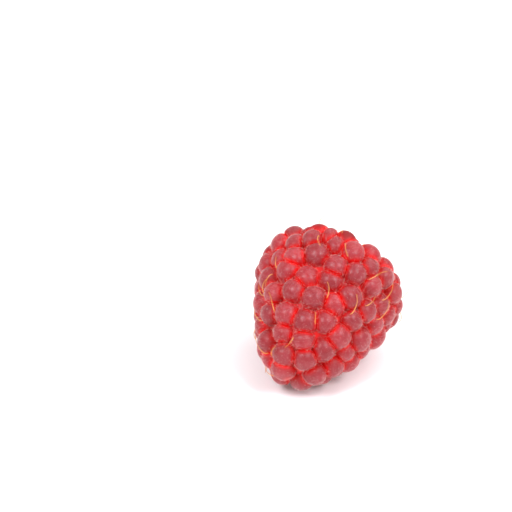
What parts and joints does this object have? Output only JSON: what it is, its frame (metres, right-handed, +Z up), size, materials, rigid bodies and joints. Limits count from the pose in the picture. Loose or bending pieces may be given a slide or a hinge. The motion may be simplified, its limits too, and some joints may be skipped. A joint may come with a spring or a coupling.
{
  "type": "raspberry",
  "caption": "Ripe raspberry lying on its side: plump fused drupelets round an open hollow, with dried golden styles standing on it.",
  "frame": {"origin": "centre of the object's bounding box in plan, on the surface the berry lies on", "axes": "+Z up; the berry's axis lies in the YZ plane, with its tip towards -Y and dipping 22 degrees, and its open end towards +Y"},
  "size_m": [0.0236, 0.0244, 0.0229],
  "materials": {
    "flesh": "velvety, with a pale bloom on the crowns and clear red in the creases",
    "style": "dry golden thread"
  },
  "bodies": {
    "root": {"berry": "flesh", "style_01": "style", "style_02": "style", "style_03": "style", "style_04": "style", "style_05": "style", "style_06": "style", "style_07": "style", "style_08": "style", "style_09": "style", "style_10": "style", "style_11": "style", "style_12": "style", "style_13": "style", "style_14": "style", "style_15": "style", "style_16": "style", "style_17": "style", "style_18": "style", "style_19": "style", "style_20": "style", "style_21": "style", "style_22": "style", "style_23": "style", "style_24": "style", "style_25": "style", "style_26": "style", "style_27": "style", "style_28": "style", "style_29": "style", "style_30": "style", "style_31": "style", "style_32": "style", "style_33": "style", "style_34": "style", "style_35": "style", "style_36": "style", "style_37": "style", "style_38": "style", "style_39": "style", "style_40": "style", "style_41": "style", "style_42": "style", "style_43": "style", "style_44": "style"}
  },
  "joints": []
}
